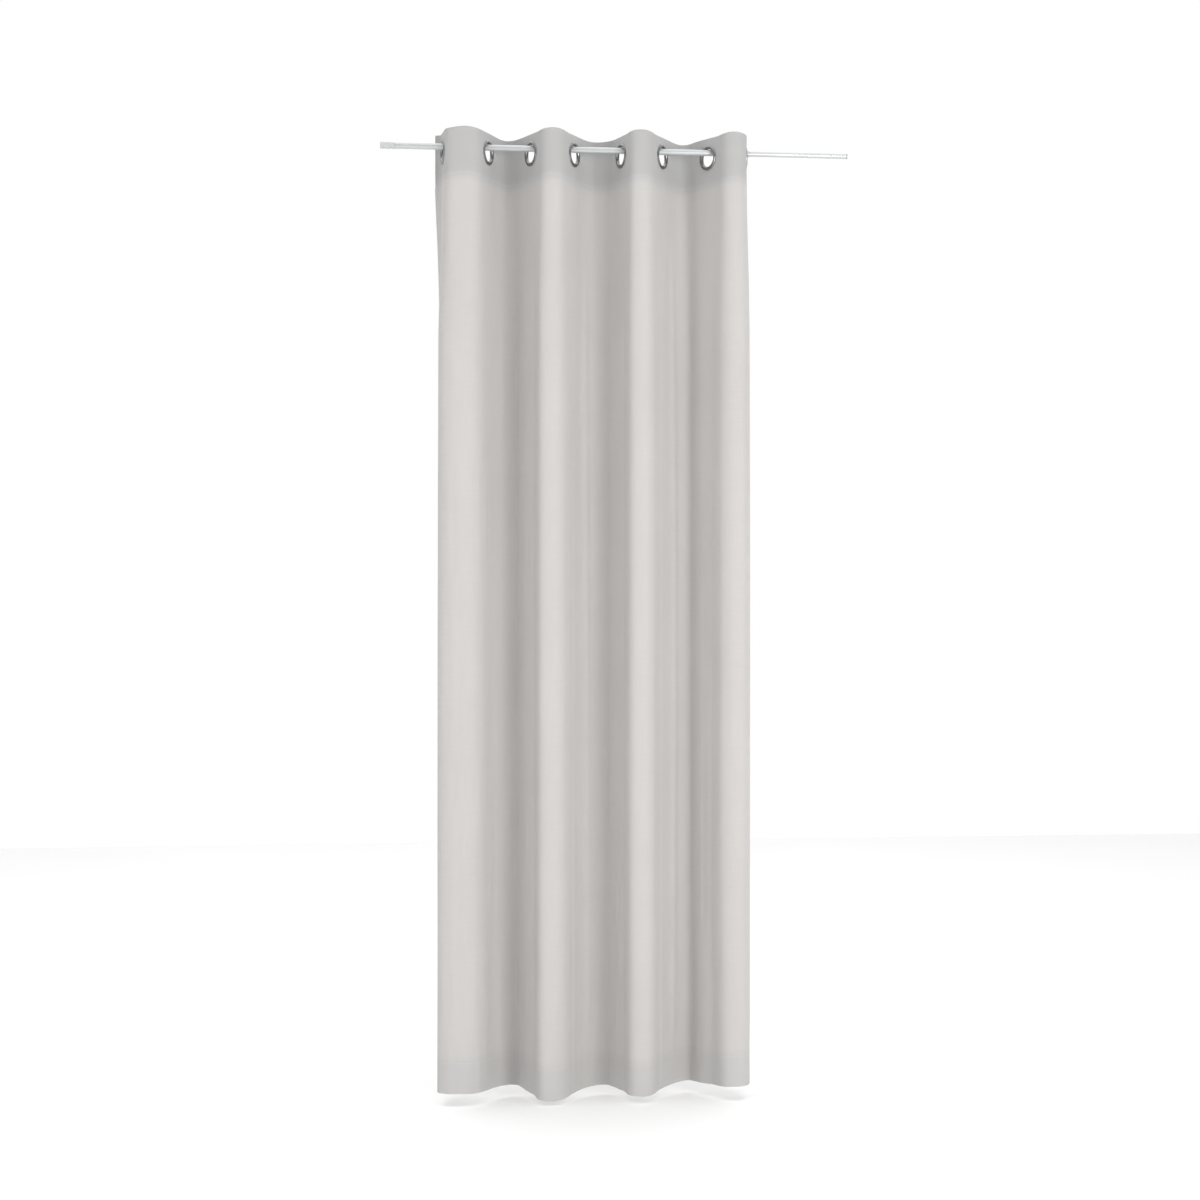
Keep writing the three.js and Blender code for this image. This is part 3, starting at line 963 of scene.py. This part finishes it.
class CURTAIN_OT_stitches(bpy.types.Operator):
    """Sew the heading and the hems with rows of stitches"""

    bl_idname = "curtain.stitches"
    bl_label = "Stitches"

    def execute(self, context):
        sizes = context.scene.curtain_cloth
        cloth = hung_cloth()
        pitch, length = 0.004, 0.003
        face = sizes.thickness / 2
        for name, first, last in spans():
            rows = []
            u = np.arange(first + pitch / 2, last, pitch)
            for v, back in ((HEADING - 0.004, HEADING_BACK), (cloth.height - HEM + 0.004, HEM_BACK)):
                for out in (face, -back - face):
                    rows.append((u, np.full(len(u), v), True, out))
            down = np.arange(HEADING + pitch, cloth.height - HEM - pitch, pitch)
            if name == "left_edge":
                places = [sizes.side_hem - 0.0035]
            elif name == "right_edge":
                places = [cloth.width - sizes.side_hem + 0.0035]
            else:
                places = []
            for place in places:
                for out in (face, -SIDE_BACK - face):
                    rows.append((np.full(len(down), place), down, False, out))
            points, faces, count = [], [], 0
            for us, vs, along_u, out in rows:
                some, more = stitch_shapes(cloth, us, vs, along_u, out, length)
                points.append(some)
                faces += [[i + count for i in f] for f in more]
                count += len(some)
            piece = new_object(f"stitches_{name}", np.vstack(points), faces, "thread")
            piece.data.polygons.foreach_set("use_smooth", np.ones(len(faces), bool))
            attach(piece, name)
        return {"FINISHED"}


class CURTAIN_OT_eyelets(bpy.types.Operator):
    """Press the two-part metal eyelets into the heading"""

    bl_idname = "curtain.eyelets"
    bl_label = "Eyelets"

    def execute(self, context):
        looks = context.scene.curtain_eyelets
        sizes = context.scene.curtain_cloth
        bore, rim, high = looks.bore, looks.radius, looks.height
        seat = sizes.thickness / 2 - 0.0001
        back = -HEADING_BACK - sizes.thickness / 2 + 0.0001
        barrel = bore + 0.0012
        front = [(barrel, back - 0.0012), (barrel, seat), (rim, seat), (rim - 0.0004, seat + high * 0.55),
                 (rim - 0.0028, seat + high * 0.93), (rim - 0.0055, seat + high),
                 (bore + 0.0022, seat + high * 0.8), (bore + 0.0004, seat + high * 0.3),
                 (bore, seat - 0.0008), (bore, back + 0.001), (bore + 0.0005, back - 0.0012)]
        inner = barrel + 0.0002
        rear = [(inner, back - 0.0018), (inner + 0.0018, back - 0.0027), (rim - 0.004, back - 0.0026),
                (rim - 0.0009, back - 0.0014), (rim - 0.0005, back), (inner, back)]
        for k in range(STRIPS):
            rise = -1 if k % 2 == 0 else 1
            lean = sizes.leans[k]
            facing = Vector((rise * math.sin(lean), -math.cos(lean), 0))
            turn = facing.to_track_quat("Z", "Y").to_matrix().to_4x4()
            place = Matrix.Translation(EYELETS[k]) @ turn
            for kind, profile, node in (("front", front, f"eyelet_front_ring_{k + 1}"),
                                        ("back", rear, f"eyelet_back_ring_{k + 1}")):
                piece = turned(f"eyelet_{kind}_{k + 1}", rounded(profile, 0.0005, 3), 72, "eyelet",
                               place)
                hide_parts(node)
                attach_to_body(piece, f"strip_{k + 1}")
        return {"FINISHED"}


TUBE_WALL = 0.001
ALONG_X = Matrix.Rotation(math.pi / 2, 4, "Y")


def rod_ends(node):
    """A rod node's left and right ends and its radius."""
    low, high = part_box(node)
    return low[0], high[0], (high[2] - low[2]) / 2


def rod_piece(name, node, body, finish, corners, radius, steps):
    """Turns a closed profile about the rod's axis, in the place of a node of the frame."""
    piece = turned(name, rounded(corners, radius, steps)[::-1], 64, finish, ALONG_X)
    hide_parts(node)
    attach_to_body(piece, body)


class CURTAIN_OT_rod(bpy.types.Operator):
    """Turn the rod's two tubes, its end cap and its plug"""

    bl_idname = "curtain.rod"
    bl_label = "Rod"

    def execute(self, context):
        left, right, radius = rod_ends("rod_outer_tube")
        tube = [(radius, left), (radius, right - 0.0012), (radius - 0.0004, right),
                (radius - TUBE_WALL, right), (radius - TUBE_WALL, left)]
        rod_piece("rod_tube_outer", "rod_outer_tube", "rod", "rod", tube, 0.0003, 2)
        left, right, radius = rod_ends("rod_inner_tube")
        tube = [(radius, left), (radius, right), (radius - TUBE_WALL, right), (radius - TUBE_WALL, left)]
        rod_piece("rod_tube_inner", "rod_inner_tube", "rod_extension", "rod", tube, 0.0003, 2)
        left, right, radius = rod_ends("rod_end_cap")
        collar, groove = left + 0.036, radius - 0.0006
        cap = [(0.00001, left), (radius, left), (radius, left + 0.026), (groove, left + 0.0266),
               (groove, left + 0.0276), (radius, left + 0.0282), (radius, collar),
               (0.0066, collar), (0.0066, right), (0.00001, right)]
        rod_piece("rod_cap", "rod_end_cap", "rod", "cap", cap, 0.0008, 3)
        left, right, radius = rod_ends("rod_end_plug")
        shoulder = right - 0.003
        plug = [(0.00001, left), (0.0051, left), (0.0051, shoulder), (radius, shoulder), (radius, right),
                (0.00001, right)]
        rod_piece("rod_plug", "rod_end_plug", "rod_extension", "cap", plug, 0.0007, 3)
        return {"FINISHED"}


class CURTAIN_OT_label(bpy.types.Operator):
    """Sew the blank care label in beside the left side hem"""

    bl_idname = "curtain.label"
    bl_label = "Care label"

    def execute(self, context):
        cloth = hung_cloth()
        low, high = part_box("care_label")
        v = np.linspace(TOP - high[2], TOP - low[2], 16)
        t = np.linspace(0, 1, 10)
        flat_u, flat_v = np.meshgrid(0.022 + 0.02 * t, v)
        curl = np.broadcast_to(0.0012 + 0.0022 * t[None, :] ** 2, flat_u.shape)
        droop = 0.0004 * np.sin((v - v[0]) / (v[-1] - v[0]) * math.pi)[:, None]
        points, normals = cloth.at(flat_u, flat_v, -curl - droop)
        place = flat_places(flat_u, flat_v)
        kept = np.ones((len(v) - 1, len(t) - 1), bool)
        piece = sheet_mesh("care_label_tab", points, normals, kept, 0.0004, place,
                           np.zeros(flat_u.shape), "label")
        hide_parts("care_label")
        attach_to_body(piece, "strip_1")
        return {"FINISHED"}


def stage_plane(name, points):
    """A flat part of the stage with the finish of its own name."""
    mesh = bpy.data.meshes.new(name)
    mesh.from_pydata(points, [], [(0, 1, 2, 3)])
    mesh.materials.append(finish_of(name))
    plane = bpy.data.objects.new(name, mesh)
    bpy.context.scene.collection.objects.link(plane)


def area_light(name, place, width, height, power):
    lamp = bpy.data.lights.new(name, "AREA")
    lamp.shape, lamp.size, lamp.size_y, lamp.energy = "RECTANGLE", width, height, power
    light = bpy.data.objects.new(name, lamp)
    light.location = place
    bpy.context.scene.collection.objects.link(light)
    return light


class CURTAIN_OT_stage(bpy.types.Operator):
    """Set the floor, the lights and the camera"""

    bl_idname = "curtain.stage"
    bl_label = "Stage"

    def execute(self, context):
        scene = context.scene
        stage = scene.curtain_stage
        size, below = 30.0, BOTTOM - 0.025
        stage_plane("floor", [(x * size, y * size, below) for x, y in ((-1, -1), (1, -1), (1, 1), (-1, 1))])
        area_light("above", (0, 0.5, 3.5), 9.0, 9.0, stage.above)
        far, high = 6.0, 8.0
        stage_plane("backdrop", [(-12, far, below - 1), (12, far, below - 1), (12, far, high),
                                 (-12, far, high)])
        world = bpy.data.worlds.new("white_room")
        world.use_nodes = True
        background = world.node_tree.nodes["Background"]
        background.inputs["Color"].default_value = (1, 1, 1, 1)
        background.inputs["Strength"].default_value = stage.sky
        scene.world = world
        middle = Vector((0, 0, (TOP + BOTTOM) / 2))
        for name, place, power in (("key", (2.75, -4.65, -0.9), stage.key),
                                   ("fill", (-3.8, -3.6, -0.9), stage.fill)):
            light = area_light(name, place, 1.8, 2.6, power)
            light.rotation_euler = (middle - light.location).to_track_quat("-Z", "Y").to_euler()
        turn = Matrix.Rotation(stage.azimuth, 3, "Z")
        right, ahead = turn @ Vector((1, 0, 0)), turn @ Vector((0, 1, 0))
        lens = bpy.data.cameras.new("camera")
        lens.lens, lens.sensor_width, lens.shift_y = stage.lens, 36.0, 0.005
        lens.clip_end = 100.0
        camera = bpy.data.objects.new("camera", lens)
        camera.location = right * stage.aim[0] - ahead * stage.distance + Vector((0, 0, stage.aim[1]))
        camera.rotation_euler = (math.pi / 2, 0, stage.azimuth)
        scene.collection.objects.link(camera)
        scene.camera = camera
        scene.view_settings.view_transform = "Standard"
        return {"FINISHED"}


class CURTAIN_PT_panel(bpy.types.Panel):
    """The curtain's pieces, in the order that they are made"""

    bl_label = "Curtain"
    bl_space_type = "VIEW_3D"
    bl_region_type = "UI"
    bl_category = "Curtain"

    def draw(self, context):
        for operator in OPERATORS:
            self.layout.operator(operator.bl_idname)
        for name, group in GROUPS.items():
            box = self.layout.box()
            for prop in group.__annotations__:
                box.prop(getattr(context.scene, name), prop)


OPERATORS = [
    CURTAIN_OT_cloth,
    CURTAIN_OT_side_hems,
    CURTAIN_OT_stiffener,
    CURTAIN_OT_stitches,
    CURTAIN_OT_eyelets,
    CURTAIN_OT_rod,
    CURTAIN_OT_label,
    CURTAIN_OT_stage,
]
GROUPS = {
    "curtain_cloth": ClothSizes,
    "curtain_eyelets": EyeletSizes,
    "curtain_rod": RodLooks,
    "curtain_stage": StageSetup,
}


def register():
    for cls in (*GROUPS.values(), *OPERATORS, CURTAIN_PT_panel):
        bpy.utils.register_class(cls)
    for name, group in GROUPS.items():
        setattr(bpy.types.Scene, name, PointerProperty(type=group))


def unregister():
    for name in GROUPS:
        delattr(bpy.types.Scene, name)
    for cls in (CURTAIN_PT_panel, *reversed(OPERATORS), *reversed(GROUPS.values())):
        bpy.utils.unregister_class(cls)


def main():
    register()
    for operator in OPERATORS:
        group, name = operator.bl_idname.split(".")
        getattr(getattr(bpy.ops, group), name)()


if __name__ == "__main__":
    main()
